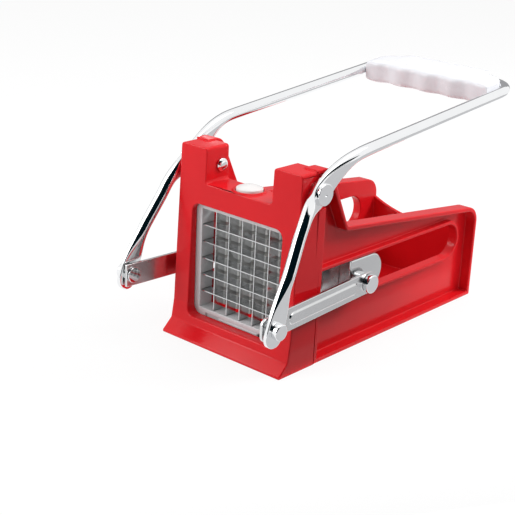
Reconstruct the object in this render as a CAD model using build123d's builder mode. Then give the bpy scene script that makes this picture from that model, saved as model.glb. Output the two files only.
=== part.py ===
from build123d import *
import os
from math import atan, cos, degrees, pi, sin, sqrt

# Lever-operated french fry cutter: a moulded body with a square window at the front, a lift-in
# blade cartridge behind the window, and a pusher that two links pull forward when the long
# handle is pressed down.  Millimetres.  +Z is up, the front faces -Y, and X = 0 is the plane of
# symmetry.  "Behind" sizes are distances back from the front edge of the body's foot.

# ---------------------------------------------------------------- body
body_length = 220.0
body_width = 105.0
block_height = 130.7
width_draft = 0.9             # each side leans in by this much over the block's height
face_top_behind = 13.4        # front face at the top of the block
face_foot_behind = 9.8        # front face where it meets the flared foot
foot_height = 22.0
foot_lip = 1.6
foot_flare_behind = 7.8
foot_flare_height = 9.0
post_depth = 20.7
pillar_back = 37.8            # rear face of the side pillars, behind the foot edge
notch_width = 57.0            # between the two posts
bridge_top = 107.3
window_width = 78.0
window_top = 92.6
window_low = 14.5
window_radius = 6.0
post_round = 2.2
wall_step = 0.5               # each wall flange lies this far inside the block's side
web_step = 11.5               # and the inner face of its web this far
web_thickness = 3.0
flange = 2.8
pillar_drop = 11.9            # top of the side pillars, below the handle's pivot
floor_thickness = 3.0
wall_front_top = 88.2         # height of the wall's top edge where the ear runs down into it
wall_front_behind = 61.9
wall_slope = 0.118            # fall of the top edge per length
rear_corner_radius = 13.0
ear_top_behind = 40.634       # the ear's rear edge leans forward from the wall's corner to here
ear_rise = 13.7               # top of the ears, above the handle's pivot
ear_radius = 9.0
rear_wall = 3.0
dish_middle = 47.0            # lowest point of the rear wall's dished top edge
dish_side = 56.5

# ---------------------------------------------------------------- guide slots and shoes
slot_low = 36.4
slot_high = 61.1
slot_rear_behind = 200.1
slot_front_behind = 31.8
collar_wall = 2.6
collar_step = 4.1             # the raised collars' faces, inside the block's side
shoe_gap = 0.3                # between a shoe and the slot's edges
shoe_front_behind = 73.0
shoe_rear_behind = 108.3
shoe_step = 0.5               # a shoe's outer face, inside the collar's
shoe_inward = 2.2             # a shoe's inner face, inside the web's
shoe_bevel = 0.8
plate_gap = 0.1               # between plates that lie together

# ---------------------------------------------------------------- blade cartridge
pitch = 11.6                  # one chip's width, between blade middles
cells = 6
side_rail = 5.8
top_rail = 6.2
grip_panel = 18.6
cartridge_thickness = 12.0
cartridge_lift = 0.4          # its lower edge above the table
cartridge_behind = 17.0       # its front face
cartridge_gap = 0.25
tab_width = 11.0
tab_height = 3.2
blade_thickness = 0.6
blade_depth = 9.0
blade_seat = 3.0              # length of each blade end inside the frame
blade_fit = 0.1
ridge_height = 0.8
ridge_width = 1.6
ridges = 4

# ---------------------------------------------------------------- release button
cap_diameter = 17.5
cap_proud = 3.2
cap_height = 6.2
cap_wall = 1.8
button_travel = 2.5
button_fit = 0.3
boss_height = 1.0
boss_diameter = 22.0
stem_diameter = 5.0
cap_roof = 2.2
cap_dome = 2.0
spring_wire = 0.8
spring_diameter = 9.0
spring_turns = 2.5

# ---------------------------------------------------------------- handle and linkage
tube_diameter = 8.0
pivot_behind = 27.2
pivot_drop = 12.8             # from the block's top down to the handle's pivot
arm_beyond = 5.7              # upper arms' middle, beyond the block's sides
arm_start_back = 40.8         # where they turn round, behind and above the pivot
arm_start_rise = 21.7
arm_rise = 0.103              # climb of the upper arms per length
crossbar_behind = 241.3
rear_bend = 18.0
elbow_gap = 0.25              # between the block's side and the flattened elbow
elbow_thickness = 4.2
elbow_width = 13.5
elbow_lean = 1.14             # run back per height gained, past the pivot
elbow_flat_run = 7.3          # flat to each side of the pivot
elbow_eye_diameter = 16.4     # round eye of the elbow about the pivot
bend_back = 17.7              # half flattened middle of the bend above, behind the pivot
bend_rise = 15.7
bend_lean = 2.36              # run back per height gained there
bend_width = 11.0
bend_thickness = 6.4
bend_outward = 0.55           # share of the way out to the upper arms
arm_head_beyond = 6.4         # top end of the round lower arms, beyond the sides
arm_head_ahead = 22.1         # and ahead of and below the pivot
arm_head_drop = 20.9
arm_foot_beyond = 10.6        # their lower end, beyond the sides
arm_foot_back = 9.8           # and behind and above the lower pin
arm_foot_rise = 25.6
strap_width = 15.0            # of the flattened lower ends
strap_thickness = 3.2
strap_beyond = 12.0           # their middle, beyond the block's sides
strap_lean = 0.47             # run forward per height lost
strap_tip_run = 4.0           # middle of a strap's round end, beyond the pin
strap_flat_run = 6.0          # flat from the pin's middle upwards
lower_pin_behind = -20.6
lower_pin_rise = 8.0          # above the guide slots' lower edge
washer_thickness = 0.8
pin_fit = 0.06                # radial running fit of every pin
pivot_pin_diameter = 8.0
pivot_head_diameter = 14.0
pivot_head_thickness = 2.4
pivot_end_diameter = 9.0
pivot_end_proud = 2.4
lower_pin_diameter = 7.0
lower_head_diameter = 10.6
lower_head_thickness = 4.3
link_front_beyond = 8.8       # links' outer faces at the lower pins, beyond the block's sides
link_rear_beyond = 1.6        # and at their rear rivets: the links spread towards the front
link_thickness = 2.0
link_height = 15.4
link_run = 105.7              # from the lower pin straight back to the rear rivet
link_hole_fit = 0.15          # radial, as the rivets pass the slanting plate
link_front_run = 8.3          # right link beyond its front hole
link_cut_run = 5.5            # left link, cut square
link_rear_run = 8.0
link_front_radius = 5.0
link_rear_radius = 7.0
rib_width = 7.8
rib_height = 1.0
rib_start = 18.0
rib_end = 13.0
rib_taper = 30.0
open_gap = 0.3                # between the link's rear rivet and the stud it sits on
slot_pin_diameter = 8.0
slot_head_diameter = 12.8
slot_head_thickness = 3.8
sleeve_diameter = 12.0

# ---------------------------------------------------------------- grip
grip_gap = 1.4                # between the grip's ends and the arms
grip_depth = 37.0
grip_rear_over = 1.6          # plastic behind the crossbar tube
grip_thickness = 16.5
finger_waves = 4
finger_wave_depth = 2.2
grip_round = 4.5              # of its long edges
grip_corner = 6.0             # of its outline's corners

# ---------------------------------------------------------------- carriage and pusher
sheet = 2.0
carriage_low = 24.0
carriage_high = 84.0
carriage_bend = 3.0
pusher_behind = 31.0          # front face of the pusher block
pusher_thickness = 20.0
pusher_gap = 0.5              # all round, inside the cartridge's opening
groove_width = 2.4
groove_depth = 13.5
pusher_corner = 4.0
screw_diameter = 4.0
screw_head_diameter = 7.6
screw_head_height = 2.4
screw_slot_length = 4.4
screw_slot_width = 0.9
nut_width = 7.0
nut_height = 3.2
rivet_diameter = 4.0
rivet_head_diameter = 7.0
rivet_head_height = 1.2
rivet_spacing = 13.0
rivet_edge = 22.0             # from the shoe's front end to its rivets
carriage_rear_behind = 102.0
rivet_reach = 5.0             # depth of each rivet in its shoe

os.makedirs("parts", exist_ok=True)

# ---------------------------------------------------------------- places worked out from the sizes
strap_tip_behind = lower_pin_behind - strap_tip_run * strap_lean / sqrt(1 + strap_lean**2)
lowest_front = strap_tip_behind - strap_width / 2
grip_rear = tube_diameter / 2 + grip_rear_over
grip_tilt = atan(arm_rise)
rearmost = (crossbar_behind + (grip_rear - grip_round) * cos(grip_tilt)
            + (grip_thickness / 2 - grip_round) * sin(grip_tilt) + grip_round)
middle = (lowest_front + rearmost) / 2


def back(behind):
    """Y of a place that lies this far behind the front edge of the foot."""
    return behind - middle


def front_plane(y):
    """Plane across the part at y, drawn as seen from the front: x is X and y is Z."""
    return Plane.XZ.offset(-y)


def side_plane(x):
    """Plane along the part at x, drawn with x as Y and y as Z."""
    return Plane.YZ.offset(x)


def keep(piece, name):
    """Label a finished piece and write its file."""
    piece.label = name
    export_step(piece, f"parts/{name}.step")


hands = ((-1, "left"), (1, "right"))
y_foot = back(0)
y_rear = back(body_length)
y_post_rear = back(face_top_behind + post_depth)
y_pillar = back(pillar_back)
half_width = body_width / 2
wall_outer = half_width - wall_step
web_inner = half_width - web_step
collar_outer = half_width - collar_step
shoe_outer = collar_outer - shoe_step
shoe_inner = web_inner - shoe_inward
arm_half_span = half_width + arm_beyond
strap_half_span = half_width + strap_beyond
link_front_half = half_width + link_front_beyond
link_rear_half = half_width + link_rear_beyond
elbow_half_span = half_width + elbow_gap + elbow_thickness / 2
lower_pin_height = slot_low + lower_pin_rise
pivot_height = block_height - pivot_drop
pillar_height = pivot_height - pillar_drop
ear_top = pivot_height + ear_rise
ear_lean = (wall_front_behind - ear_top_behind) / (ear_top - wall_front_top)
crossbar_height = pivot_height + arm_start_rise + arm_rise * (
    crossbar_behind - pivot_behind - arm_start_back)
face_lean = (face_top_behind - face_foot_behind) / (block_height - foot_height)
cartridge_front = back(cartridge_behind)
cartridge_rear = cartridge_front + cartridge_thickness
cartridge_width = cells * pitch + 2 * side_rail
grid_low = cartridge_lift + grip_panel
grid_high = grid_low + cells * pitch
grid_middle = (grid_low + grid_high) / 2
rail_top = grid_high + top_rail
tab_top = rail_top + tab_height
slot_middle = (slot_low + slot_high) / 2
slot_rear = back(slot_rear_behind)
slot_front = back(slot_front_behind)
y_pivot = back(pivot_behind)
y_lower_pin = back(lower_pin_behind)
y_slot_pin = y_lower_pin + link_run
y_crossbar = back(crossbar_behind)
y_button = (back(face_top_behind) + y_post_rear) / 2
rivet_y = back(shoe_front_behind) + rivet_edge
rivet_places = [(rivet_y, slot_middle + offset) for offset in (-rivet_spacing / 2, rivet_spacing / 2)]


def half_width_at(z):
    """Half the block's width at a height, with the draft taken off."""
    return half_width - width_draft * z / block_height

# ---------------------------------------------------------------- body: one red moulding
y_corner = back(wall_front_behind)
wall_rear_top = wall_front_top - wall_slope * (y_rear - y_corner)
y_ear_top = y_corner - ear_lean * (ear_top - wall_front_top)
button_floor = bridge_top + boss_height + cap_proud - cap_height - button_travel - button_fit
pocket_top = tab_top + button_travel + button_fit


def wall_outline(inset):
    """Side view of a wall with its ear, drawn a distance inside the outer edge."""
    inside = y_post_rear - post_depth / 3
    with BuildSketch() as outline:
        with BuildLine():
            FilletPolyline(
                (inside, inset),
                (y_rear - inset, inset),
                (y_rear - inset, wall_rear_top - inset),
                (y_corner - inset * ear_lean, wall_front_top - inset),
                (y_ear_top - inset, ear_top - inset),
                (inside, ear_top - inset),
                radius=(0, 0, rear_corner_radius - inset, ear_radius / 2, ear_radius - inset, 0),
                close=True,
            )
        make_face()
    return outline.sketch


def long_slot(front, rear, low, high, grow):
    """Side view of a slot with one round end at the rear, grown outward by a distance."""
    radius = (high - low) / 2
    with BuildSketch() as outline:
        with Locations(((front + rear - radius) / 2, (low + high) / 2)):
            Rectangle(rear - radius - front, high - low + 2 * grow)
        with Locations((rear - radius, (low + high) / 2)):
            Circle(radius + grow)
    return outline.sketch


with BuildPart() as body:
    # front block: its front view with draft and notch, trimmed to its side view
    with BuildSketch(front_plane(y_post_rear)):
        Polygon(
            (-half_width, 0), (half_width, 0),
            (half_width_at(block_height), block_height), (notch_width / 2, block_height),
            (notch_width / 2, bridge_top), (-notch_width / 2, bridge_top),
            (-notch_width / 2, block_height), (-half_width_at(block_height), block_height),
            align=None,
        )
        fillet(vertices().filter_by(lambda v: v.Y > bridge_top - 1), post_round)
    extrude(amount=face_top_behind + post_depth)
    with BuildSketch(side_plane(-body_width)):
        Polygon(
            (y_foot, 0),
            (y_foot, foot_lip),
            (back(foot_flare_behind), foot_flare_height),
            (back(face_foot_behind), foot_height),
            (back(face_top_behind), block_height),
            (y_post_rear, block_height),
            (y_post_rear, 0),
            align=None,
        )
    extrude(amount=2 * body_width, mode=Mode.INTERSECT)
    # side walls: a web, a solid pillar behind each post and a flange round the outer edge
    for side, hand in hands:
        with BuildSketch(side_plane(side * web_inner)):
            add(wall_outline(0))
        extrude(amount=side * web_thickness)
        with BuildSketch(side_plane(side * web_inner)):
            add(wall_outline(0))
            add(wall_outline(flange), mode=Mode.SUBTRACT)
        extrude(amount=side * (wall_outer - web_inner))
        with BuildSketch(side_plane(side * web_inner)):
            with Locations((y_post_rear, 0)):
                Rectangle(2 * (y_pillar - y_post_rear), pillar_height, align=(Align.CENTER, Align.MIN))
        extrude(amount=side * (wall_outer - web_inner))
        with BuildSketch(side_plane(side * web_inner)):
            add(long_slot(slot_front, slot_rear, slot_low, slot_high, collar_wall))
        extrude(amount=side * (collar_outer - web_inner))
        with BuildSketch(side_plane(side * (web_inner - 1))):
            add(long_slot(slot_front, slot_rear, slot_low, slot_high, 0))
        extrude(amount=side * (collar_outer + 1 - web_inner), mode=Mode.SUBTRACT)
    # tray floor and the rear wall with its dished top
    with BuildSketch(Plane.XY):
        with Locations((0, y_rear)):
            Rectangle(2 * web_inner + 1, y_rear - y_post_rear + 1, align=(Align.CENTER, Align.MAX))
    extrude(amount=floor_thickness)
    with BuildSketch(front_plane(y_rear)):
        with BuildLine():
            Polyline((-web_inner - 1, dish_side), (-web_inner - 1, 0), (web_inner + 1, 0),
                     (web_inner + 1, dish_side))
            ThreePointArc((web_inner + 1, dish_side), (0, dish_middle), (-web_inner - 1, dish_side))
        make_face()
    extrude(amount=rear_wall)
    # square window through the block
    with BuildSketch(front_plane(y_pillar + 1)):
        with Locations((0, (window_low + window_top) / 2)):
            RectangleRounded(window_width, window_top - window_low, window_radius)
    extrude(amount=pillar_back + 2, mode=Mode.SUBTRACT)
    # pocket that takes the cartridge from below, with a smaller one for its tab
    with BuildSketch(Plane.XY):
        with Locations((0, cartridge_front + cartridge_thickness / 2)):
            Rectangle(cartridge_width + 2 * cartridge_gap, cartridge_thickness + 2 * cartridge_gap)
    extrude(amount=rail_top + cartridge_gap, mode=Mode.SUBTRACT)
    with BuildSketch(Plane.XY.offset(rail_top)):
        with Locations((0, cartridge_front + cartridge_thickness / 2)):
            Rectangle(tab_width + 2 * cartridge_gap, cartridge_thickness + 2 * cartridge_gap)
    extrude(amount=pocket_top - rail_top, mode=Mode.SUBTRACT)
    # boss, recess and stem hole of the release button
    with BuildSketch(Plane.XY.offset(bridge_top)):
        with Locations((0, y_button)):
            Circle(boss_diameter / 2)
    extrude(amount=boss_height)
    with BuildSketch(Plane.XY.offset(button_floor)):
        with Locations((0, y_button)):
            Circle(cap_diameter / 2 + button_fit)
    extrude(amount=cap_height + button_travel, mode=Mode.SUBTRACT)
    with BuildSketch(Plane.XY.offset(rail_top)):
        with Locations((0, y_button)):
            Circle(stem_diameter / 2 + pin_fit)
    extrude(amount=cap_height + button_travel + tab_height, mode=Mode.SUBTRACT)
    # pivot holes through the posts
    with BuildSketch(side_plane(-half_width)):
        with Locations((y_pivot, pivot_height)):
            Circle(pivot_pin_diameter / 2 + pin_fit)
    extrude(amount=body_width, mode=Mode.SUBTRACT)
keep(body.part, "body")

# ---------------------------------------------------------------- blade cartridge
blade_places = [(i - (cells - 2) / 2) * pitch for i in range(cells - 1)]
blade_front = cartridge_front + (cartridge_thickness - blade_depth) / 2
blade_length = cells * pitch + 2 * blade_seat
seat_width = blade_thickness + 2 * blade_fit
panel_recess = ridge_height + cartridge_gap

with BuildPart() as cartridge_frame:
    with BuildSketch(front_plane(cartridge_rear)):
        with Locations((0, cartridge_lift)):
            Rectangle(cartridge_width, rail_top - cartridge_lift, align=(Align.CENTER, Align.MIN))
        with Locations((0, rail_top)):
            Rectangle(tab_width, 2 * tab_height)
        with Locations((0, grid_middle)):
            Rectangle(cells * pitch, cells * pitch, mode=Mode.SUBTRACT)
    extrude(amount=cartridge_thickness)
    # seats for the blade ends, open towards the rear
    with BuildSketch(front_plane(cartridge_rear)):
        for place in blade_places:
            with Locations((place, grid_middle)):
                Rectangle(seat_width, blade_length + 2 * blade_fit)
            with Locations((0, grid_middle + place)):
                Rectangle(blade_length + 2 * blade_fit, seat_width)
    extrude(amount=cartridge_rear - blade_front + blade_fit, mode=Mode.SUBTRACT)
    # recessed finger panel with its ridges, and the two feet below it
    with BuildSketch(front_plane(cartridge_front)):
        with Locations((0, cartridge_lift + grip_panel / 2)):
            Rectangle(cartridge_width - 4 * side_rail, grip_panel - side_rail)
    extrude(amount=-panel_recess, mode=Mode.SUBTRACT)
    with BuildSketch(front_plane(cartridge_front + panel_recess)):
        with Locations((0, cartridge_lift + grip_panel / 2)):
            with GridLocations(0, (grip_panel - side_rail) / ridges, 1, ridges):
                Rectangle(cells * pitch / 2, ridge_width)
    extrude(amount=ridge_height)
    with BuildSketch(front_plane(cartridge_rear)):
        with Locations((0, cartridge_lift)):
            with GridLocations(cells * pitch * 0.7, 0, 2, 1):
                Rectangle(side_rail * 2, side_rail / 2)
    extrude(amount=cartridge_thickness, mode=Mode.SUBTRACT)
keep(cartridge_frame.part, "cartridge_frame")

with BuildPart() as vertical_blades:
    with BuildSketch(front_plane(blade_front + blade_depth)):
        for place in blade_places:
            with Locations((place, grid_middle)):
                Rectangle(blade_thickness, blade_length)
    extrude(amount=blade_depth)
    with BuildSketch(front_plane(blade_front + blade_depth / 2)):
        for place in blade_places:
            with Locations((0, grid_middle + place)):
                Rectangle(blade_length, seat_width)
    extrude(amount=blade_depth, mode=Mode.SUBTRACT)
keep(vertical_blades.part, "vertical_blades")

with BuildPart() as horizontal_blades:
    with BuildSketch(front_plane(blade_front + blade_depth)):
        for place in blade_places:
            with Locations((0, grid_middle + place)):
                Rectangle(blade_length, blade_thickness)
    extrude(amount=blade_depth)
    with BuildSketch(front_plane(blade_front + blade_depth)):
        for place in blade_places:
            with Locations((place, grid_middle)):
                Rectangle(seat_width, blade_length)
    extrude(amount=blade_depth / 2 + blade_fit, mode=Mode.SUBTRACT)
keep(horizontal_blades.part, "horizontal_blades")

# ---------------------------------------------------------------- release button and its spring
cap_top = bridge_top + boss_height + cap_proud
cap_ceiling = cap_top - cap_roof
cap_low = cap_top - cap_height

with BuildPart() as release_button:
    with BuildSketch(Plane.XZ.offset(-y_button)):
        with BuildLine():
            Polyline((0, cap_top), (0, pocket_top), (stem_diameter / 2, pocket_top),
                     (stem_diameter / 2, cap_ceiling), (cap_diameter / 2 - cap_wall, cap_ceiling),
                     (cap_diameter / 2 - cap_wall, cap_low), (cap_diameter / 2, cap_low),
                     (cap_diameter / 2, cap_top - cap_dome))
            TangentArc((0, cap_top), (cap_diameter / 2, cap_top - cap_dome), tangent=(1, 0))
        make_face()
    revolve(axis=Axis((0, y_button, 0), (0, 0, 1)))
keep(release_button.part, "release_button")

spring_height = cap_ceiling - button_floor - spring_wire
with BuildPart() as button_spring:
    with BuildLine(Plane(origin=(0, y_button, button_floor + spring_wire / 2))) as coil:
        Helix(pitch=spring_height / spring_turns, height=spring_height, radius=spring_diameter / 2)
    with BuildSketch(Plane(origin=coil.line @ 0, z_dir=coil.line % 0)):
        Circle(spring_wire / 2)
    sweep(path=coil.line, is_frenet=True)
keep(button_spring.part, "button_spring")

# ---------------------------------------------------------------- handle: one bent and flattened tube
strap_along = Vector(0, strap_lean, 1).normalized()
elbow_along = Vector(0, elbow_lean, 1).normalized()
upper_along = Vector(0, 1, arm_rise).normalized()
bend_along = Vector(0, bend_lean, 1).normalized()


def tube_plane(place, along):
    """Plane square to the tube, x across the machine, at a place on its middle line."""
    return Plane(origin=place, x_dir=(1, 0, 0), z_dir=along)


pivot = Vector(elbow_half_span, y_pivot, pivot_height)
lower_pin = Vector(strap_half_span, y_lower_pin, lower_pin_height)
strap_end = lower_pin - strap_along * strap_tip_run
strap_top = lower_pin + strap_along * strap_flat_run
arm_foot = Vector(half_width + arm_foot_beyond, y_lower_pin + arm_foot_back,
                  lower_pin_height + arm_foot_rise)
arm_head = Vector(half_width + arm_head_beyond, y_pivot - arm_head_ahead,
                  pivot_height - arm_head_drop)
elbow_low = pivot - elbow_along * elbow_flat_run
elbow_high = pivot + elbow_along * elbow_flat_run
upper_start = Vector(arm_half_span, y_pivot + arm_start_back, pivot_height + arm_start_rise)
bend_centre = Vector(elbow_half_span + bend_outward * (arm_half_span - elbow_half_span),
                     y_pivot + bend_back, pivot_height + bend_rise)
lower_along = (arm_head - arm_foot).normalized()

with BuildPart() as handle_lever:
    # flattened lower end, round about its pin
    with BuildSketch(side_plane(strap_half_span - strap_thickness / 2)):
        with Locations((strap_end.Y, strap_end.Z)):
            Circle(strap_width / 2)
        with Locations(Location((strap_end.Y, strap_end.Z), 90 - degrees(atan(strap_lean)))):
            Rectangle(strap_tip_run + strap_flat_run, strap_width, align=(Align.MIN, Align.CENTER))
    extrude(amount=strap_thickness)
    with BuildSketch(tube_plane(strap_top, strap_along)):
        Rectangle(strap_thickness, strap_width)
    with BuildSketch(tube_plane(arm_foot, lower_along)):
        Circle(tube_diameter / 2)
    loft()
    # round lower arm
    with BuildSketch(tube_plane(arm_foot, lower_along)):
        Circle(tube_diameter / 2)
    extrude(amount=(arm_head - arm_foot).length)
    # elbow: flattened past the pivot, with a round eye about it
    with BuildSketch(tube_plane(arm_head, lower_along)):
        Circle(tube_diameter / 2)
    with BuildSketch(tube_plane(elbow_low, elbow_along)):
        SlotOverall(elbow_width, elbow_thickness, rotation=90)
    loft()
    with BuildSketch(tube_plane(elbow_low, elbow_along)):
        SlotOverall(elbow_width, elbow_thickness, rotation=90)
    extrude(amount=2 * elbow_flat_run)
    with BuildSketch(side_plane(elbow_half_span - elbow_thickness / 2)):
        with Locations((y_pivot, pivot_height)):
            Circle(elbow_eye_diameter / 2)
    extrude(amount=elbow_thickness)
    with BuildSketch(tube_plane(elbow_high, elbow_along)):
        SlotOverall(elbow_width, elbow_thickness, rotation=90)
    with BuildSketch(tube_plane(bend_centre, bend_along)):
        SlotOverall(bend_width, bend_thickness, rotation=90)
    loft()
    with BuildSketch(tube_plane(bend_centre, bend_along)):
        SlotOverall(bend_width, bend_thickness, rotation=90)
    with BuildSketch(tube_plane(upper_start, upper_along)):
        Circle(tube_diameter / 2)
    loft()
    # upper arm, rear bend and half of the crossbar
    with BuildLine() as upper_path:
        FilletPolyline(
            upper_start,
            (arm_half_span, y_crossbar, crossbar_height),
            (0, y_crossbar, crossbar_height),
            radius=rear_bend,
        )
    with BuildSketch(tube_plane(upper_start, upper_along)):
        Circle(tube_diameter / 2)
    sweep(path=upper_path.line)
    mirror(about=Plane.YZ)
    with BuildSketch(side_plane(-strap_half_span - strap_thickness)):
        with Locations((y_pivot, pivot_height)):
            Circle(pivot_pin_diameter / 2 + pin_fit)
        with Locations((y_lower_pin, lower_pin_height)):
            Circle(lower_pin_diameter / 2 + pin_fit)
    extrude(amount=2 * (strap_half_span + strap_thickness), mode=Mode.SUBTRACT)
keep(handle_lever.part, "handle_lever")

# ---------------------------------------------------------------- grip moulded round the crossbar
grip_half_length = arm_half_span - tube_diameter / 2 - grip_gap
bend_middle = arm_half_span - rear_bend
wave_half = grip_half_length - grip_corner
grip_front = grip_rear - grip_depth
wave_points = [
    (x, grip_front + finger_wave_depth / 2 * (1 - cos(pi * finger_waves * x / wave_half)))
    for x in [wave_half * (i / (2 * finger_waves) - 1) for i in range(4 * finger_waves + 1)]
]
# x across the machine, y rearward along the arms, z up from the crossbar
grip_plane = Plane(origin=(0, y_crossbar, crossbar_height), x_dir=(1, 0, 0),
                   z_dir=(0, -upper_along.Z, upper_along.Y))

with BuildPart() as grip:
    with BuildSketch(grip_plane.offset(-grip_thickness / 2)):
        with BuildLine():
            waves = Spline(*wave_points, tangents=((1, 0), (1, 0)))
            TangentArc(waves @ 1, (grip_half_length, grip_front + grip_corner), tangent=(1, 0))
            FilletPolyline((grip_half_length, grip_front + grip_corner), (grip_half_length, grip_rear),
                           (-grip_half_length, grip_rear),
                           (-grip_half_length, grip_front + grip_corner), radius=grip_corner)
            TangentArc((-grip_half_length, grip_front + grip_corner), waves @ 0, tangent=(0, -1))
        make_face()
    extrude(amount=grip_thickness)
    fillet(faces().filter_by(GeomType.PLANE).sort_by(Axis.Z)[-1].edges(), grip_round)
    fillet(faces().filter_by(GeomType.PLANE).sort_by(Axis.Z)[0].edges(), grip_round)
    with BuildSketch(side_plane(-arm_half_span)):
        with Locations((y_crossbar, crossbar_height)):
            Circle(tube_diameter / 2 + pin_fit)
    extrude(amount=2 * arm_half_span, mode=Mode.SUBTRACT)
    # the tube's rear bends stay bare: the grip's rear corners stop at their inner side
    with BuildSketch(grip_plane.offset(-grip_thickness)):
        with Locations((bend_middle, -rear_bend)):
            Rectangle(2 * rear_bend, 2 * rear_bend, align=(Align.MIN, Align.MIN))
            Circle(rear_bend - tube_diameter / 2 - grip_gap, mode=Mode.SUBTRACT)
        mirror(about=Plane.YZ)
    extrude(amount=2 * grip_thickness, mode=Mode.SUBTRACT)
keep(grip.part, "grip")


def turned(profile_places, axis_y, axis_z, side):
    """Round piece about a cross axis from (radius, distance out) places, on one side."""
    with BuildPart() as piece:
        with BuildSketch(Plane(origin=(0, axis_y, axis_z), x_dir=(0, 1, 0), z_dir=(0, 0, 1))):
            Polygon(*[(radius, -side * out) for radius, out in profile_places], align=None)
        revolve(axis=Axis((0, axis_y, axis_z), (1, 0, 0)))
    return piece.part


# the links slant, so what faces them square on keeps clear by the slant over its own radius
link_slant = (link_front_half - link_rear_half) / link_run
link_inner_front = link_front_half - link_thickness
link_inner_rear = link_rear_half - link_thickness
lower_head_clear = link_slant * lower_head_diameter / 2 + plate_gap
slot_head_clear = link_slant * slot_head_diameter / 2 + plate_gap
stud_end = link_inner_rear - link_slant * sleeve_diameter / 2 - open_gap

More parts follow.
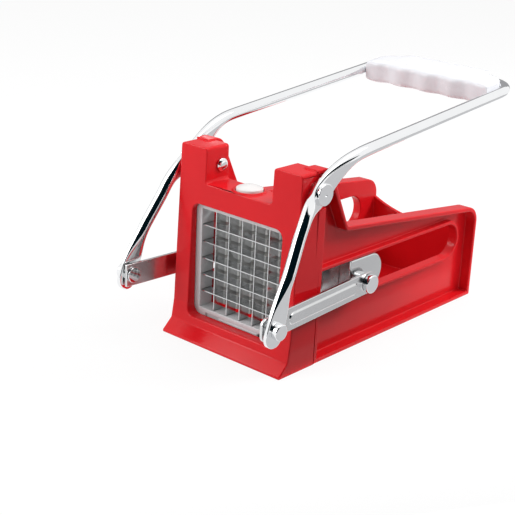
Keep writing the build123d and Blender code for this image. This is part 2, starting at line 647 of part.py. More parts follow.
for side, hand in hands:
    # rivet that the handle turns on: a wide head outside, a small one inside the post
    pivot_head_inner = elbow_half_span + elbow_thickness / 2 + plate_gap
    keep(turned((
        (0, notch_width / 2 - pivot_end_proud),
        (pivot_end_diameter / 2, notch_width / 2 - pivot_end_proud),
        (pivot_end_diameter / 2, notch_width / 2 - plate_gap),
        (pivot_pin_diameter / 2, notch_width / 2 - plate_gap),
        (pivot_pin_diameter / 2, pivot_head_inner),
        (pivot_head_diameter / 2, pivot_head_inner),
        (pivot_head_diameter / 2, pivot_head_inner + pivot_head_thickness),
        (0, pivot_head_inner + pivot_head_thickness),
    ), y_pivot, pivot_height, side), f"pivot_pin_{hand}")
    # thin washer between the post and the handle
    washer_outer = elbow_half_span - elbow_thickness / 2 - plate_gap
    keep(turned((
        (pivot_pin_diameter / 2 + pin_fit, washer_outer - washer_thickness),
        (pivot_head_diameter / 2, washer_outer - washer_thickness),
        (pivot_head_diameter / 2, washer_outer),
        (pivot_pin_diameter / 2 + pin_fit, washer_outer),
    ), y_pivot, pivot_height, side), f"pivot_washer_{hand}")
    # rivet through the handle's lower end and the link
    inner_head = link_inner_front - lower_head_clear
    lower_head_inner = strap_half_span + strap_thickness / 2 + plate_gap
    keep(turned((
        (0, inner_head - washer_thickness),
        (lower_head_diameter / 2, inner_head - washer_thickness),
        (lower_head_diameter / 2, inner_head),
        (lower_pin_diameter / 2, inner_head),
        (lower_pin_diameter / 2, lower_head_inner),
        (lower_head_diameter / 2, lower_head_inner),
        (lower_head_diameter / 2, lower_head_inner + lower_head_thickness),
        (0, lower_head_inner + lower_head_thickness),
    ), y_lower_pin, lower_pin_height, side), f"lower_pin_{hand}")
    # spacer on that rivet, between the link and the handle
    spacer_inner = link_front_half + lower_head_clear
    spacer_outer = strap_half_span - strap_thickness / 2 - plate_gap
    keep(turned((
        (lower_pin_diameter / 2 + pin_fit, spacer_inner),
        (lower_head_diameter / 2, spacer_inner),
        (lower_head_diameter / 2, spacer_outer),
        (lower_pin_diameter / 2 + pin_fit, spacer_outer),
    ), y_lower_pin, lower_pin_height, side), f"lower_spacer_{hand}")
    # pressed link plate with a raised rib, drawn on its outer face with x running back along it
    link_plane = Plane(origin=(side * link_front_half, y_lower_pin, lower_pin_height),
                       x_dir=(-side * link_slant, 1, 0), z_dir=(side, link_slant, 0))
    link_length = link_run * sqrt(1 + link_slant**2)
    link_start = -link_front_run if hand == "right" else -link_cut_run
    link_end = link_length + link_rear_run
    with BuildPart() as link:
        with BuildSketch(link_plane):
            with Locations(((link_start + link_end) / 2, 0)):
                Rectangle(link_end - link_start, link_height)
            fillet(vertices().group_by(Axis.X)[-1], link_rear_radius)
            if hand == "right":
                fillet(vertices().group_by(Axis.X)[0], link_front_radius)
        extrude(amount=-link_thickness)
        with BuildSketch(link_plane):
            with Locations(((rib_start + link_length - rib_end) / 2, 0)):
                SlotOverall(link_length - rib_start - rib_end, rib_width)
        extrude(amount=rib_height, taper=rib_taper)
        with BuildSketch(side_plane(side * shoe_outer)):
            with Locations((y_lower_pin, lower_pin_height)):
                Circle(lower_pin_diameter / 2 + link_hole_fit)
            with Locations((y_slot_pin, lower_pin_height)):
                Circle(slot_pin_diameter / 2 + link_hole_fit)
        extrude(amount=side * (strap_half_span - shoe_outer), mode=Mode.SUBTRACT)
    keep(link.part, f"link_{hand}")
    # rivet at the link's rear end
    slot_head_inner = link_rear_half + slot_head_clear
    keep(turned((
        (0, stud_end + open_gap),
        (slot_pin_diameter / 2, stud_end + open_gap),
        (slot_pin_diameter / 2, slot_head_inner),
        (slot_head_diameter / 2, slot_head_inner),
        (slot_head_diameter / 2, slot_head_inner + slot_head_thickness),
        (0, slot_head_inner + slot_head_thickness),
    ), y_slot_pin, lower_pin_height, side), f"slot_pin_{hand}")
    # shouldered stud that carries the link's rear end on the shoe
    keep(turned((
        (0, shoe_inner),
        (slot_pin_diameter / 2, shoe_inner),
        (slot_pin_diameter / 2, shoe_outer + plate_gap),
        (sleeve_diameter / 2, shoe_outer + plate_gap),
        (sleeve_diameter / 2, stud_end),
        (0, stud_end),
    ), y_slot_pin, lower_pin_height, side), f"shoe_stud_{hand}")
    # sliding shoe, round at its rear like the slot
    with BuildPart() as shoe:
        with BuildSketch(side_plane(side * shoe_inner)):
            add(long_slot(back(shoe_front_behind), back(shoe_rear_behind),
                          slot_low + shoe_gap, slot_high - shoe_gap, 0))
        extrude(amount=side * (shoe_outer - shoe_inner))
        chamfer(faces().sort_by(Axis.X)[-1 if side > 0 else 0].edges(), shoe_bevel)
        with BuildSketch(side_plane(side * (shoe_inner - 1))):
            with Locations((y_slot_pin, lower_pin_height)):
                Circle(slot_pin_diameter / 2 + pin_fit)
        extrude(amount=side * (shoe_outer - shoe_inner + 2), mode=Mode.SUBTRACT)
        with BuildSketch(side_plane(side * (shoe_inner - 1))):
            with Locations(*rivet_places):
                Circle(rivet_diameter / 2 + pin_fit)
        extrude(amount=side * (rivet_reach + 1 + plate_gap), mode=Mode.SUBTRACT)
    keep(shoe.part, f"slide_shoe_{hand}")

# ---------------------------------------------------------------- carriage: a folded steel channel
carriage_half = shoe_inner - plate_gap
carriage_rear = back(carriage_rear_behind)
y_plate_front = back(pusher_behind) + pusher_thickness + plate_gap
with BuildPart() as carriage:
    with BuildSketch(Plane.XY.offset(carriage_low)):
        with BuildLine():
            FilletPolyline(
                (-carriage_half, carriage_rear), (-carriage_half, y_plate_front),
                (carriage_half, y_plate_front), (carriage_half, carriage_rear),
                radius=carriage_bend + sheet,
            )
            offset(amount=-sheet, side=Side.LEFT)
        make_face()
    extrude(amount=carriage_high - carriage_low)
    # the cheeks narrow towards the rear
    with BuildSketch(side_plane(-half_width)):
        Polygon(
            (y_plate_front, carriage_low), (y_plate_front + 2 * carriage_bend, carriage_low),
            (carriage_rear, slot_low), (carriage_rear, slot_high),
            (y_plate_front + 2 * carriage_bend, carriage_high), (y_plate_front, carriage_high),
            align=None,
        )
    extrude(amount=body_width, mode=Mode.INTERSECT)
    with BuildSketch(side_plane(-half_width)):
        with Locations(*rivet_places):
            Circle(rivet_diameter / 2 + pin_fit)
        with Locations((y_slot_pin, lower_pin_height)):
            Circle(slot_pin_diameter / 2 + pin_fit)
    extrude(amount=body_width, mode=Mode.SUBTRACT)
    with BuildSketch(front_plane(y_plate_front + 2 * sheet)):
        with Locations((0, grid_middle)):
            Circle(screw_diameter / 2 + pin_fit)
    extrude(amount=3 * sheet, mode=Mode.SUBTRACT)
keep(carriage.part, "carriage")

with BuildPart() as shoe_rivets:
    for side, hand in hands:
        for diameter, start, end in (
            (rivet_head_diameter, carriage_half - sheet - rivet_head_height, carriage_half - sheet),
            (rivet_diameter, carriage_half - sheet, shoe_inner + rivet_reach),
        ):
            with BuildSketch(side_plane(side * start)):
                with Locations(*rivet_places):
                    Circle(diameter / 2)
            extrude(amount=side * (end - start))
keep(shoe_rivets.part, "shoe_rivets")

# ---------------------------------------------------------------- pusher block, grooved for the blades
pusher_width = cells * pitch - 2 * pusher_gap
y_pusher = back(pusher_behind)
y_groove = y_pusher + groove_depth
with BuildPart() as pusher_block:
    with BuildSketch(front_plane(y_pusher + pusher_thickness)):
        with Locations((0, grid_middle)):
            RectangleRounded(pusher_width, pusher_width, pusher_corner)
    extrude(amount=pusher_thickness)
    with BuildSketch(front_plane(y_groove)):
        for place in blade_places:
            with Locations((place, grid_middle)):
                Rectangle(groove_width, pusher_width)
            with Locations((0, grid_middle + place)):
                Rectangle(pusher_width, groove_width)
        with Locations((0, grid_middle)):
            Circle(screw_head_diameter / 2 + 2 * cartridge_gap)
    extrude(amount=groove_depth, mode=Mode.SUBTRACT)
    with BuildSketch(front_plane(y_pusher + pusher_thickness)):
        with Locations((0, grid_middle)):
            Circle(screw_diameter / 2 + pin_fit)
    extrude(amount=pusher_thickness, mode=Mode.SUBTRACT)
keep(pusher_block.part, "pusher_block")

with BuildPart() as pusher_screw:
    with BuildSketch(front_plane(y_groove)):
        with Locations((0, grid_middle)):
            Circle(screw_head_diameter / 2)
    extrude(amount=screw_head_height)
    with BuildSketch(front_plane(y_groove - screw_head_height)):
        with Locations((0, grid_middle)):
            Rectangle(screw_slot_length, screw_slot_width)
            Rectangle(screw_slot_width, screw_slot_length)
    extrude(amount=-screw_head_height / 2, mode=Mode.SUBTRACT)
    with BuildSketch(front_plane(y_groove)):
        with Locations((0, grid_middle)):
            Circle(screw_diameter / 2)
    extrude(amount=-(pusher_thickness - groove_depth + plate_gap + sheet + nut_height + 1))
keep(pusher_screw.part, "pusher_screw")

with BuildPart() as pusher_nut:
    with BuildSketch(front_plane(y_plate_front + sheet)):
        with Locations((0, grid_middle)):
            RegularPolygon(nut_width / 2, 6, major_radius=False)
            Circle(screw_diameter / 2 + pin_fit, mode=Mode.SUBTRACT)
    extrude(amount=-nut_height)
keep(pusher_nut.part, "pusher_nut")
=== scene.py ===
import bmesh
import bpy
import numpy as np
from math import cos, hypot, pi, radians, sin
from mathutils import Matrix, Vector


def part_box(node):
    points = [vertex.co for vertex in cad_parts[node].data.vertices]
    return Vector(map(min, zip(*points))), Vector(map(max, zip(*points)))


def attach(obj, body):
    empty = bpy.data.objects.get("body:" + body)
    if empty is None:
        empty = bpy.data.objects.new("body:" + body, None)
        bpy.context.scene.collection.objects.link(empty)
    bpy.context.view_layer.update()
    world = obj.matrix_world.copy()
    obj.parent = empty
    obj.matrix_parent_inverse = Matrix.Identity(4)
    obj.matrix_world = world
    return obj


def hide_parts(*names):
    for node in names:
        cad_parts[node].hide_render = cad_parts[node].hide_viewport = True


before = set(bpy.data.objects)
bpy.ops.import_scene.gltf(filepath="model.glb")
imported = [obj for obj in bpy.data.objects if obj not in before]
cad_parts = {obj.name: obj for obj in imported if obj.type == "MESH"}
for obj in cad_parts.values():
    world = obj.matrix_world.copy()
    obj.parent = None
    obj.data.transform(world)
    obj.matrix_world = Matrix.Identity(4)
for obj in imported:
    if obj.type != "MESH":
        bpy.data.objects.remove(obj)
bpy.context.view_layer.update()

# ---------------------------------------------------------------- camera
# The machine is looked at from in front, a little from its right and from above, with the
# camera held slightly turned.  All places are metres in the machine's own frame.
camera_distance = 0.82444
scene = bpy.context.scene
foot_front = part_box("body")[0].y
azimuth, elevation, roll = radians(39.36), radians(19.87), radians(3.32)
look_at = Vector((0, foot_front + 0.0733, 0.050))
towards_camera = Vector((sin(azimuth) * cos(elevation), -cos(azimuth) * cos(elevation), sin(elevation)))
level_right = Vector((cos(azimuth), sin(azimuth), 0))
level_up = towards_camera.cross(level_right)
frame_right = cos(roll) * level_right + sin(roll) * level_up
frame_up = -sin(roll) * level_right + cos(roll) * level_up
camera_data = bpy.data.cameras.new("camera")
camera_data.lens = 84.39
camera_data.sensor_width = 36
camera_data.shift_x = -0.0731
camera_data.shift_y = 0.0005
camera = bpy.data.objects.new("camera", camera_data)
scene.collection.objects.link(camera)
camera.matrix_world = Matrix.Translation(look_at + towards_camera * camera_distance) @ Matrix(
    (frame_right, frame_up, towards_camera)).transposed().to_4x4()
scene.camera = camera

# ---------------------------------------------------------------- studio
# A white tent: even light from all round, soft lamps at the front left and above, a small one
# behind at the right, a pale floor, cards that only gloss sees and flags that only dull faces see.
scene.view_settings.view_transform = "Standard"
world = bpy.data.worlds.new("tent")
world.use_nodes = True
scene.world = world
tent = world.node_tree
tent.nodes.clear()
seen = tent.nodes.new("ShaderNodeLightPath")
camera_or_mirror = tent.nodes.new("ShaderNodeMath")
camera_or_mirror.operation = "MAXIMUM"
or_through = tent.nodes.new("ShaderNodeMath")
or_through.operation = "MAXIMUM"
soft_light = tent.nodes.new("ShaderNodeBackground")
soft_light.inputs["Color"].default_value = (1, 1, 1, 1)
soft_light.inputs["Strength"].default_value = 0.66
white_tent = tent.nodes.new("ShaderNodeBackground")
white_tent.inputs["Color"].default_value = (1, 1, 1, 1)
white_tent.inputs["Strength"].default_value = 1.0
choose = tent.nodes.new("ShaderNodeMixShader")
tent_out = tent.nodes.new("ShaderNodeOutputWorld")
tent.links.new(seen.outputs["Is Camera Ray"], camera_or_mirror.inputs[0])
tent.links.new(seen.outputs["Is Glossy Ray"], camera_or_mirror.inputs[1])
tent.links.new(camera_or_mirror.outputs[0], or_through.inputs[0])
tent.links.new(seen.outputs["Is Transmission Ray"], or_through.inputs[1])
tent.links.new(or_through.outputs[0], choose.inputs[0])
tent.links.new(soft_light.outputs[0], choose.inputs[1])
tent.links.new(white_tent.outputs[0], choose.inputs[2])
tent.links.new(choose.outputs[0], tent_out.inputs["Surface"])


def soft_lamp(name, place, size, power, mirrored=True):
    """Square lamp at a place, turned to face the middle of the machine; gloss sees it if it is
    mirrored."""
    data = bpy.data.lights.new(name, "AREA")
    data.shape = "SQUARE"
    data.size = size
    data.energy = power
    lamp = bpy.data.objects.new(name, data)
    scene.collection.objects.link(lamp)
    place = Vector(place)
    lamp.matrix_world = Matrix.Translation(place) @ (place - Vector((0, 0, 0.06))).to_track_quat(
        "Z", "Y").to_matrix().to_4x4()
    lamp.visible_glossy = mirrored


soft_lamp("front_lamp", (-0.75, -1.05, 0.75), 0.8, 9.5)
soft_lamp("top_lamp", (0.25, 0.15, 1.30), 1.0, 6.0)
soft_lamp("right_lamp", (0.52, 0.72, 0.66), 0.35, 7.5, mirrored=False)


def grid_faces(rows, columns, closed):
    """Quads of a grid of rows by columns, numbered row by row; closed joins the last column to
    the first."""
    row = np.arange(rows - 1)[:, None]
    column = np.arange(columns if closed else columns - 1)[None, :]
    after = (column + 1) % columns
    return np.stack([row * columns + column, row * columns + after,
                     (row + 1) * columns + after, (row + 1) * columns + column], -1).reshape(-1, 4)


def staged(name, points, faces, finish):
    """Floor or card: seen by the lamps and the metal, no part of the machine."""
    mesh = bpy.data.meshes.new(name)
    mesh.from_pydata(np.asarray(points).tolist(), [], np.asarray(faces).tolist())
    mesh.materials.append(finish)
    sheet = bpy.data.objects.new(name, mesh)
    scene.collection.objects.link(sheet)
    return sheet


floor_finish = bpy.data.materials.new("pale_floor")
floor_finish.use_nodes = True
nodes, links = floor_finish.node_tree.nodes, floor_finish.node_tree.links
nodes.clear()
path = nodes.new("ShaderNodeLightPath")
paper = nodes.new("ShaderNodeBsdfDiffuse")
paper.inputs["Color"].default_value = (0.90, 0.90, 0.90, 1)
glow = nodes.new("ShaderNodeEmission")
glow.inputs["Color"].default_value = (1, 1, 1, 1)
glow.inputs["Strength"].default_value = 1.0
direct = nodes.new("ShaderNodeMath")
direct.operation = "MAXIMUM"
share = nodes.new("ShaderNodeMath")
share.operation = "MULTIPLY"
share.inputs[1].default_value = 0.86
mix = nodes.new("ShaderNodeMixShader")
out = nodes.new("ShaderNodeOutputMaterial")
links.new(path.outputs["Is Camera Ray"], direct.inputs[0])
links.new(path.outputs["Is Glossy Ray"], direct.inputs[1])
links.new(direct.outputs[0], share.inputs[0])
links.new(share.outputs[0], mix.inputs[0])
links.new(paper.outputs[0], mix.inputs[1])
links.new(glow.outputs[0], mix.inputs[2])
links.new(mix.outputs[0], out.inputs["Surface"])
turn = np.linspace(0, 2 * np.pi, 65)[:-1]
staged("floor", np.stack([3 * np.cos(turn), 3 * np.sin(turn), 0 * turn], 1), [list(range(64))],
       floor_finish)


def card_finish(name, colour):
    """Card that shows one even colour from both sides."""
    finish = bpy.data.materials.new(name)
    finish.use_nodes = True
    finish.node_tree.nodes.clear()
    tone = finish.node_tree.nodes.new("ShaderNodeEmission")
    tone.inputs["Color"].default_value = (*colour, 1)
    out = finish.node_tree.nodes.new("ShaderNodeOutputMaterial")
    finish.node_tree.links.new(tone.outputs[0], out.inputs["Surface"])
    return finish


def one_sided(finish):
    """The card is clear from its back."""
    nodes, links = finish.node_tree.nodes, finish.node_tree.links
    facing = nodes.new("ShaderNodeNewGeometry")
    clear = nodes.new("ShaderNodeBsdfTransparent")
    either = nodes.new("ShaderNodeMixShader")
    links.new(facing.outputs["Backfacing"], either.inputs[0])
    links.new(nodes["Emission"].outputs[0], either.inputs[1])
    links.new(clear.outputs[0], either.inputs[2])
    links.new(either.outputs[0], nodes["Material Output"].inputs["Surface"])
    return finish


def only_mirrored(card):
    """The card is seen in gloss alone: it takes no light away."""
    card.visible_camera = False
    card.visible_diffuse = False
    card.visible_shadow = False
    card.visible_transmission = False


def bent_card(name, first, last, low, high, colour):
    """Card bent round the leaning lower arms: the direction to the camera, turned about the
    arms' own line by first to last degrees and tipped along it by low to high degrees."""
    along = np.array(Vector((0, 0.50, 0.866)))
    ahead = np.array(towards_camera)
    ahead = ahead - along * (ahead @ along)
    ahead = ahead / np.linalg.norm(ahead)
    beside = np.cross(along, ahead)
    turned_by, tipped = np.meshgrid(np.radians(np.linspace(first, last, 25)),
                                    np.radians(np.linspace(low, high, 9)), indexing="ij")
    rays = (np.cos(tipped) * np.cos(turned_by))[..., None] * ahead + (
        np.cos(tipped) * np.sin(turned_by))[..., None] * beside + np.sin(tipped)[..., None] * along
    points = np.array(look_at) + 1.25 * rays.reshape(-1, 3)
    only_mirrored(staged(name, points, grid_faces(25, 9, False), card_finish(name, colour)))


def low_card(name, left, right, front, rear, colour):
    """Card that lies just above the floor."""
    lift = 0.0006
    only_mirrored(staged(name, [(left, front, lift), (right, front, lift), (right, rear, lift),
                                (left, rear, lift)], [(0, 1, 2, 3)], card_finish(name, colour)))


bent_card("dark_card", -42, 72, -24, 30, (0.001, 0.006, 0.009))
low_card("near_card", 0.075, 0.50, -0.25, 0.70, (0.60, 0.60, 0.61))
low_card("far_card", 0.62, 1.60, -0.80, 0.30, (0.001, 0.006, 0.009))
only_mirrored(staged("left_wall", [(-1.70, 0.20, 0.0), (-0.20, 1.90, 0.0), (-0.20, 1.90, 1.10),
                                   (-1.70, 0.20, 1.10)], [(0, 1, 2, 3)],
                     card_finish("left_wall", (0.36, 0.36, 0.37))))
for name, corners in (
    ("side_flag", [(0.10, -0.34, 0.0), (0.10, -0.34, 0.13), (0.34, 0.04, 0.13), (0.34, 0.04, 0.0)]),
    ("floor_flag", [(0.056, -0.22, 0.0009), (0.40, -0.22, 0.0009), (0.40, 0.08, 0.0009),
                    (0.056, 0.03, 0.0009)]),
):
    flag = staged(name, corners, [(0, 1, 2, 3)], one_sided(card_finish(name, (0.0, 0.0, 0.0))))
    only_mirrored(flag)
    flag.visible_diffuse = True
    flag.visible_glossy = False

# ---------------------------------------------------------------- body
# One moulding in glossy red plastic: front block with its window and posts, the tray behind it
# and the two slotted side walls.  Its outer edges are softened as the mould left them.


def plastic(name, colour, rough, cloud, relief_depth, specular):
    """Moulded plastic: a colour with faint cloudy variation, fine skin relief, and a gloss that
    varies a little where it has been handled."""
    finish = bpy.data.materials.new(name)
    finish.use_nodes = True
    nodes, links = finish.node_tree.nodes, finish.node_tree.links
    shader = nodes["Principled BSDF"]
    place = nodes.new("ShaderNodeTexCoord")
    clouds = nodes.new("ShaderNodeTexNoise")
    clouds.inputs["Scale"].default_value = 28
    clouds.inputs["Detail"].default_value = 4
    tint = nodes.new("ShaderNodeValToRGB")
    tint.color_ramp.elements[0].position = 0.3
    tint.color_ramp.elements[1].position = 0.7
    tint.color_ramp.elements[0].color = (*[c * (1 - cloud) for c in colour], 1)
    tint.color_ramp.elements[1].color = (*[min(1, c * (1 + cloud)) for c in colour], 1)
    handled = nodes.new("ShaderNodeTexNoise")
    handled.inputs["Scale"].default_value = 60
    handled.inputs["Detail"].default_value = 6
    gloss = nodes.new("ShaderNodeMapRange")
    gloss.inputs["From Min"].default_value = 0.3
    gloss.inputs["From Max"].default_value = 0.7
    gloss.inputs["To Min"].default_value = rough * 0.8
    gloss.inputs["To Max"].default_value = rough * 1.25
    skin = nodes.new("ShaderNodeTexNoise")
    skin.inputs["Scale"].default_value = 700
    skin.inputs["Detail"].default_value = 2
    relief = nodes.new("ShaderNodeBump")
    relief.inputs["Strength"].default_value = 0.25
    relief.inputs["Distance"].default_value = relief_depth
    for texture in (clouds, handled, skin):
        links.new(place.outputs["Object"], texture.inputs["Vector"])
    links.new(clouds.outputs["Fac"], tint.inputs["Fac"])
    links.new(tint.outputs["Color"], shader.inputs["Base Color"])
    links.new(handled.outputs["Fac"], gloss.inputs["Value"])
    links.new(gloss.outputs["Result"], shader.inputs["Roughness"])
    links.new(skin.outputs["Fac"], relief.inputs["Height"])
    links.new(relief.outputs["Normal"], shader.inputs["Normal"])
    shader.inputs["Specular IOR Level"].default_value = specular
    return finish


def place_piece(name, mesh, body, finish, *nodes):
    """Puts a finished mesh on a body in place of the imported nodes."""
    mesh.materials.clear()
    mesh.materials.append(finish)
    piece = bpy.data.objects.new(name, mesh)
    scene.collection.objects.link(piece)
    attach(piece, body)
    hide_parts(*nodes)
    return piece


def rounded_copy(name, node, width, body, finish):
    """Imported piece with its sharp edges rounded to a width: its triangles are first joined to
    flat faces, then each edge of more than 30 degrees becomes three narrow strips.  Large flat
    faces keep flat shading, and the strips and curved faces are smooth."""
    flat_area = 25e-6
    shape = bmesh.new()
    shape.from_mesh(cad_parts[node].data)
    bmesh.ops.remove_doubles(shape, verts=shape.verts, dist=1e-6)
    bmesh.ops.dissolve_limit(shape, angle_limit=radians(0.5), verts=shape.verts, edges=shape.edges)
    edges = [edge for edge in shape.edges if edge.calc_face_angle(0) > radians(30)]
    made = bmesh.ops.bevel(shape, geom=edges, offset=width, offset_type="OFFSET", segments=3, profile=0.5,
                           affect="EDGES", clamp_overlap=False, miter_outer="SHARP", material=-1)
    for face in shape.faces:
        face.smooth = face.calc_area() < flat_area
    for face in made["faces"]:
        face.smooth = True
    mesh = bpy.data.meshes.new(name)
    shape.to_mesh(mesh)
    shape.free()
    return place_piece(name, mesh, body, finish, node)


red = plastic("red_abs", (0.640, 0.0085, 0.0135), 0.16, 0.04, 0.00003, 0.19)
body_piece = rounded_copy("red_body", "body", 0.0007, "base", red)

# ---------------------------------------------------------------- handle
# One chromed steel tube: flat straps at the lower ends, round lower arms, elbows flattened where
# the pivots pass, long upper arms and a bend to the crossbar in the grip.


def metal(name, colour, rough_low, rough_high, scratch, grain):
    """Plated or bare metal: gloss that varies in clouds, and fine lines of relief whose grain
    gives how much finer they are along each axis."""
    finish = bpy.data.materials.new(name)
    finish.use_nodes = True
    nodes, links = finish.node_tree.nodes, finish.node_tree.links
    shader = nodes["Principled BSDF"]
    shader.inputs["Metallic"].default_value = 1
    place = nodes.new("ShaderNodeTexCoord")
    drawn_out = nodes.new("ShaderNodeMapping")
    drawn_out.inputs["Scale"].default_value = grain
    lines = nodes.new("ShaderNodeTexNoise")
    lines.inputs["Scale"].default_value = 900
    lines.inputs["Detail"].default_value = 3
    clouds = nodes.new("ShaderNodeTexNoise")
    clouds.inputs["Scale"].default_value = 45
    clouds.inputs["Detail"].default_value = 5
    gloss = nodes.new("ShaderNodeMapRange")
    gloss.inputs["From Min"].default_value = 0.3
    gloss.inputs["From Max"].default_value = 0.7
    gloss.inputs["To Min"].default_value = rough_low
    gloss.inputs["To Max"].default_value = rough_high
    tone = nodes.new("ShaderNodeValToRGB")
    tone.color_ramp.elements[0].color = (*[c * 0.93 for c in colour], 1)
    tone.color_ramp.elements[1].color = (*[min(1, c * 1.04) for c in colour], 1)
    relief = nodes.new("ShaderNodeBump")
    relief.inputs["Strength"].default_value = 0.3
    relief.inputs["Distance"].default_value = scratch
    links.new(place.outputs["Object"], drawn_out.inputs["Vector"])
    links.new(drawn_out.outputs["Vector"], lines.inputs["Vector"])
    links.new(place.outputs["Object"], clouds.inputs["Vector"])
    links.new(clouds.outputs["Fac"], gloss.inputs["Value"])
    links.new(gloss.outputs["Result"], shader.inputs["Roughness"])
    links.new(clouds.outputs["Fac"], tone.inputs["Fac"])
    links.new(tone.outputs["Color"], shader.inputs["Base Color"])
    links.new(lines.outputs["Fac"], relief.inputs["Height"])
    links.new(relief.outputs["Normal"], shader.inputs["Normal"])
    return finish


chrome = metal("chrome", (0.90, 0.91, 0.92), 0.03, 0.07, 0.000002, (1, 1, 1))
pivot_low, pivot_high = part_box("pivot_pin_right")
foot_pin_low, foot_pin_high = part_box("lower_pin_right")
handle_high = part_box("handle_lever")[1]
tube = 0.0040                   # half the round tube's diameter
strap_half = 0.0076             # half the flat strap's width
pin_reach = 0.0115              # from the strap's tip to its pin
elbow_radius = 0.0840           # of the elbow's outer side
pivot_turn = 130.24             # degrees on the elbow's arc where the pivot passes
arm_climb = 0.103               # rise of the upper arms per length
pivot_y, pivot_z = (pivot_low.y + pivot_high.y) / 2, (pivot_low.z + pivot_high.z) / 2
pin_y, pin_z = (foot_pin_low.y + foot_pin_high.y) / 2, (foot_pin_low.z + foot_pin_high.z) / 2
crossbar_y, crossbar_z = handle_high.y - tube, 0.15745
arm_x, elbow_x, strap_x = 0.0582, 0.05485, 0.0645
rear_bend = 0.018


def handle_line(spacing):
    """Stations along half the handle, from the strap's tip to the middle of the crossbar: place,
    half thickness, half width and squareness of the section.  The strap runs straight past its
    pin, a cubic curve joins it to the lower arm, an arc of constant outer radius makes the elbow,
    and a quarter circle leads to the crossbar.  The stations are spaced evenly and their places
    are then averaged with their neighbours, which takes the corners out of the line."""
    def rows(*columns):
        return np.stack(np.broadcast_arrays(*[np.asarray(column, float) for column in columns]), 1)

    reach = np.array([0.0, 0.0003, 0.0008, 0.0016, 0.0027, 0.0042, 0.0060, 0.0076, 0.0115, 0.0155])
    lean = np.array([0.34, 1.0]) / hypot(0.34, 1.0)
    tip_wide = strap_half * np.sqrt(1 - np.clip(1 - reach / strap_half, 0, 0.9995) ** 2)
    strap = rows(strap_x, pin_y + lean[0] * (reach - pin_reach), pin_z + lean[1] * (reach - pin_reach),
                 0.0011 + 0.0005 * np.clip(reach / 0.0016, 0, 1), tip_wide, 6.0)
    t = np.linspace(0.06, 1, 24)
    ease = 3 * t**2 - 2 * t**3
    begin, end = strap[-1, 1:3], np.array([pin_y + 0.0122, pin_z + 0.0297])
    rise = np.array([0.507, 0.862])
    run = np.linalg.norm(end - begin)
    joined = ((2 * t**3 - 3 * t**2 + 1)[:, None] * begin + (t**3 - 2 * t**2 + t)[:, None] * run * lean
              + ease[:, None] * end + (t**3 - t**2)[:, None] * run * rise)
    taper = rows(strap_x + (0.0627 - strap_x) * ease, joined[:, 0], joined[:, 1],
                 0.0016 + 0.0024 * ease, strap_half - 0.0036 * ease, 2 + 4 * (1 - ease) ** 2)
    centre = np.array([pivot_y + 0.0490, pivot_z - 0.0579])
    turned_by = np.radians(np.linspace(152.5, 95.9, 60))
    from_pivot = np.degrees(turned_by) - pivot_turn
    flat, inward = [0.5 * (1 + np.cos(np.pi * np.clip(
        np.where(from_pivot > 0, from_pivot / below, from_pivot / above), -1, 1)))
        for below, above in ((17, 27), (22, 34))]
    span = np.where(from_pivot > 0, 0.0589, arm_x)
    wide = tube + 0.0039 * flat
    elbow = rows(span - (span - elbow_x) * inward, centre[0] + (elbow_radius - wide) * np.cos(turned_by),
                 centre[1] + (elbow_radius - wide) * np.sin(turned_by),
                 tube - 0.0019 * np.clip(1.25 * flat, 0, 1), wide, 2 + 3 * flat)
    climb = np.array([1, arm_climb]) / hypot(1, arm_climb)
    bend = np.linspace(0, pi / 2, 16)
    along = rear_bend * (np.sin(bend) - 1)
    rear = rows(arm_x - rear_bend * (1 - np.cos(bend)), crossbar_y + climb[0] * along,
                crossbar_z + climb[1] * along, tube, tube, 2.0)
    middle = rows([0.0], crossbar_y, crossbar_z, tube, tube, 2.0)
    line = np.vstack([strap, taper, elbow, rear, middle])
    passed = np.concatenate([[0], np.cumsum(np.linalg.norm(np.diff(line[:, :3], axis=0), axis=1))])
    even = np.concatenate([passed[:8], np.linspace(passed[8], passed[-1], int(passed[-1] / spacing))])
    line = np.stack([np.interp(even, passed, column) for column in line.T], 1)
    for again in range(12):
        line[9:-1] = (line[8:-2] + 2 * line[9:-1] + line[10:]) / 4
    return line


def closed_faces(stations, sides):
    """Faces of a tube through rings of points, with a fan at each end to one point that follows
    the rings in the list of points."""
    around = np.arange(sides)
    after = (around + 1) % sides
    last = (stations - 1) * sides
    caps = np.vstack([np.stack([around * 0 + stations * sides, after, around], 1),
                      np.stack([around * 0 + stations * sides + 1, last + around, last + after], 1)])
    return grid_faces(stations, sides, True).tolist() + caps.tolist()


def handle_tube(line, sides):
    """Tube through the stations.  Its section is |u/thickness|^n + |v/width|^n = 1, with v square
    to the line in the side view; it is closed to a point at the tip and repeated, mirrored, on
    the other side of the machine."""
    places, size = line[:, :3], line[:, 3:]
    heading = np.gradient(places, axis=0)
    heading = heading / np.linalg.norm(heading, axis=1)[:, None]
    side_view = heading * np.array([0, 1, 1])
    upper_run = np.arange(len(line)) > len(line) // 2
    side_view = np.where(upper_run[:, None], np.array([0, 1, arm_climb]), side_view)
    wide = np.stack([0 * side_view[:, 0], -side_view[:, 2], side_view[:, 1]], 1)
    wide = wide - heading * np.sum(heading * wide, axis=1)[:, None]
    wide = wide / np.linalg.norm(wide, axis=1)[:, None]
    thick = np.cross(wide, heading)
    angle = 2 * np.pi * np.arange(sides) / sides
    power = 2 / size[:, 2:3]
    u = size[:, 0:1] * np.sign(np.cos(angle)) * np.abs(np.cos(angle)) ** power
    v = size[:, 1:2] * np.sign(np.sin(angle)) * np.abs(np.sin(angle)) ** power
    rings = places[:, None] + u[..., None] * thick[:, None] + v[..., None] * wide[:, None]
    rings = np.concatenate([rings, rings[-2::-1] * np.array([-1, 1, 1])])
    points = np.vstack([rings.reshape(-1, 3), [places[0], places[0] * np.array([-1, 1, 1])]])
    return points, closed_faces(len(rings), sides)


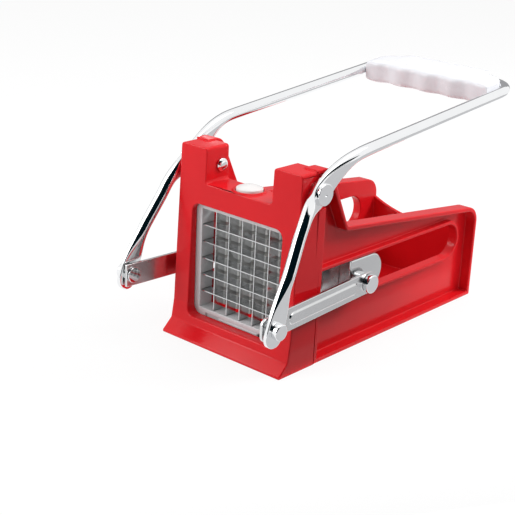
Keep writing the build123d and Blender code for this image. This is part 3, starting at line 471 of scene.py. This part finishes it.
def outward(name, points, faces):
    """Mesh of points and faces with all its faces turned outward."""
    mesh = bpy.data.meshes.new(name)
    mesh.from_pydata(np.asarray(points).tolist(), [], faces)
    shape = bmesh.new()
    shape.from_mesh(mesh)
    bmesh.ops.remove_doubles(shape, verts=shape.verts, dist=1e-7)
    bmesh.ops.recalc_face_normals(shape, faces=shape.faces)
    shape.to_mesh(mesh)
    shape.free()
    mesh.polygons.foreach_set("use_smooth", np.ones(len(mesh.polygons), bool))
    return mesh


handle_mesh = outward("chromed_handle", *handle_tube(handle_line(0.0013), 48))
handle_piece = place_piece("chromed_handle", handle_mesh, "lever", chrome, "handle_lever")

# ---------------------------------------------------------------- pins
# Plated steel rivets with flat heads: the pivots through the posts, each with a centre dimple, the
# lower rivets that join handle and link, and the rear rivets of the links.


def soft_corners(places, radius, steps=5):
    """Profile through the places with each inner corner rounded: a quadratic curve that leaves
    the corner by the radius or half the shorter side."""
    places = np.array(places, float)
    legs = np.linalg.norm(np.diff(places, axis=0), axis=1)
    reach = np.minimum(radius, 0.5 * np.minimum(legs[:-1], legs[1:]))[:, None]
    before = (places[:-2] - places[1:-1]) / legs[:-1, None]
    after = (places[2:] - places[1:-1]) / legs[1:, None]
    t = np.linspace(0, 1, steps)[None, :, None]
    corner = places[1:-1, None]
    curve = corner + (1 - t) ** 2 * (before * reach)[:, None] + t**2 * (after * reach)[:, None]
    return np.vstack([places[:1], curve.reshape(-1, 2), places[-1:]])


def rivet(name, node, body, profile, edge_round=0.0005, sides=64):
    """Round pin: a profile of (radius, distance out) turned about the node's own middle line,
    closed on that line at both ends."""
    low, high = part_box(node)
    side = 1 if low.x + high.x > 0 else -1
    across, out = soft_corners(profile, edge_round).T
    angle = 2 * np.pi * np.arange(sides) / sides
    points = np.stack([side * out[:, None] + 0 * angle,
                       (low.y + high.y) / 2 + across[:, None] * np.cos(angle),
                       (low.z + high.z) / 2 + across[:, None] * np.sin(angle)], -1)
    mesh = outward(name, points.reshape(-1, 3), grid_faces(len(out), sides, True).tolist())
    piece = place_piece(name, mesh, body, chrome, node)
    return piece


for hand in ("left", "right"):
    low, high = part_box(f"pivot_pin_{hand}")
    inner, outer = sorted((abs(low.x), abs(high.x)))
    rivet(f"pivot_rivet_{hand}", f"pivot_pin_{hand}", "base", [
        (0, inner), (0.0030, inner + 0.0003), (0.0045, inner + 0.0011), (0.0045, inner + 0.0023),
        (0.0040, inner + 0.0023), (0.0040, outer - 0.0024), (0.0070, outer - 0.0024),
        (0.0070, outer), (0.0010, outer), (0.0007, outer - 0.0006), (0, outer - 0.0006)])
    low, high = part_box(f"lower_pin_{hand}")
    inner, outer = sorted((abs(low.x), abs(high.x)))
    rivet(f"lower_rivet_{hand}", f"lower_pin_{hand}", "lever", [
        (0, inner), (0.0053, inner), (0.0053, inner + 0.0008), (0.0035, inner + 0.0008),
        (0.0035, outer - 0.0043), (0.0053, outer - 0.0043), (0.0053, outer - 0.0004),
        (0.0044, outer), (0, outer)])
    low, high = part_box(f"slot_pin_{hand}")
    inner, outer = sorted((abs(low.x), abs(high.x)))
    rivet(f"link_rivet_{hand}", f"slot_pin_{hand}", f"{hand}_link", [
        (0, inner), (0.0040, inner), (0.0040, outer - 0.0038), (0.0064, outer - 0.0038),
        (0.0064, outer - 0.0004), (0.0055, outer), (0, outer)])

# ---------------------------------------------------------------- links, shoes, studs and washers
# Pressed strips with a raised rib, the shoes that slide in the walls' slots, and the small turned
# parts between the plates.  Zinc plated steel, brushed along the machine, with polished studs.


def finish_node(node, finish):
    """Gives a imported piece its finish."""
    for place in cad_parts[node].material_slots:
        place.material = finish


zinc = metal("zinc_plate", (0.72, 0.725, 0.73), 0.16, 0.28, 0.000006, (1, 0.04, 1))
for hand in ("left", "right"):
    rounded_copy(f"pressed_link_{hand}", f"link_{hand}", 0.0004, f"{hand}_link", zinc)
    rounded_copy(f"steel_shoe_{hand}", f"slide_shoe_{hand}", 0.0004, "pusher", zinc)
    finish_node(f"shoe_stud_{hand}", chrome)
    finish_node(f"pivot_washer_{hand}", zinc)
    finish_node(f"lower_spacer_{hand}", zinc)

# ---------------------------------------------------------------- carriage and pusher
# A folded steel channel between the shoes, and on its front a white plastic block whose grid of
# grooves lets the blades pass.  Four rivets, one screw and its nut hold them together.
rounded_copy("folded_carriage", "carriage", 0.0003, "pusher", zinc)
pusher_white = plastic("pusher_white", (0.74, 0.74, 0.72), 0.32, 0.03, 0.00005, 0.4)
rounded_copy("grooved_pusher", "pusher_block", 0.0004, "pusher", pusher_white)
for node in ("shoe_rivets", "pusher_screw", "pusher_nut"):
    finish_node(node, zinc)

# ---------------------------------------------------------------- blade cartridge
# Grey plastic frame that snaps up into the body, with two crossing sets of stainless blades.
cartridge_grey = plastic("cartridge_grey", (0.60, 0.61, 0.62), 0.30, 0.03, 0.00005, 0.4)
rounded_copy("cartridge_body", "cartridge_frame", 0.0005, "cartridge", cartridge_grey)
blade_steel = metal("blade_steel", (0.66, 0.67, 0.68), 0.12, 0.24, 0.000004, (0.04, 1, 0.04))
finish_node("vertical_blades", blade_steel)
finish_node("horizontal_blades", blade_steel)

# ---------------------------------------------------------------- release button
# White domed cap on a stem, in a recess of the bridge, held up by a coil spring.
button_white = plastic("button_white", (0.70, 0.70, 0.69), 0.22, 0.015, 0.00003, 0.4)
rounded_copy("domed_button", "release_button", 0.0004, "button", button_white)
finish_node("button_spring", blade_steel)

# ---------------------------------------------------------------- grip
# White plastic moulded round the crossbar, with four shallow waves for the fingers.  Its rear
# corners stop at the inner side of the tube's bends.
grip_white = plastic("grip_white", (0.75, 0.755, 0.79), 0.24, 0.008, 0.00001, 0.4)
grip_half = 0.0540              # half the grip's length


def moulded_grip(half_length, stations, sides):
    """Bar along x whose section is the closed curve |v/depth|^n + |w/height|^n = 1 between its
    front and rear edges.  The front edge is half a wave depth times 1 - cos of the wave's turn,
    the rear edge is straight and then follows the inside of the tube's bend, and towards the ends
    height and depth close in as a superellipse."""
    share = np.sin(np.linspace(-pi / 2, pi / 2, stations))
    x = half_length * share
    close = (1 - np.abs(share) ** 14) ** (1 / 3.2)
    close[[0, -1]] = 0.02
    wave = 0.0011 * (1 - np.cos(4 * pi * np.clip(np.abs(x) / 0.0465, 0, 1)))
    front = -0.0314 + wave
    past = np.clip(np.abs(x) - (arm_x - rear_bend), 0, 0.0139)
    inside = -rear_bend + np.sqrt(np.maximum(0.0142 ** 2 - past ** 2, 0))
    blend = np.clip((np.abs(x) - 0.033) / 0.008, 0, 1)
    blend = blend * blend * (3 - 2 * blend)
    rear = 0.0056 + (inside - 0.0056) * blend
    middle, half = (front + rear) / 2, (rear - front) / 2 * (0.86 + 0.14 * close)
    height = 0.00825 * (0.62 + 0.38 * close)
    half[[0, -1]] = half[[0, -1]] * 0.05
    height[[0, -1]] = height[[0, -1]] * 0.05
    angle = 2 * np.pi * np.arange(sides) / sides
    v = middle[:, None] + half[:, None] * np.sign(np.cos(angle)) * np.abs(np.cos(angle)) ** (2 / 7)
    w = height[:, None] * np.sign(np.sin(angle)) * np.abs(np.sin(angle)) ** (2 / 5.5)
    climb = np.array([1, arm_climb]) / hypot(1, arm_climb)
    points = np.stack([x[:, None] + 0 * v, crossbar_y + climb[0] * v - climb[1] * w,
                       crossbar_z + climb[1] * v + climb[0] * w], -1).reshape(-1, 3)
    ends = np.array([points[:sides].mean(0), points[-sides:].mean(0)])
    return np.vstack([points, ends]), closed_faces(stations, sides)


grip_piece = place_piece("moulded_grip", outward("moulded_grip", *moulded_grip(grip_half, 160, 96)),
                         "lever", grip_white, "grip")
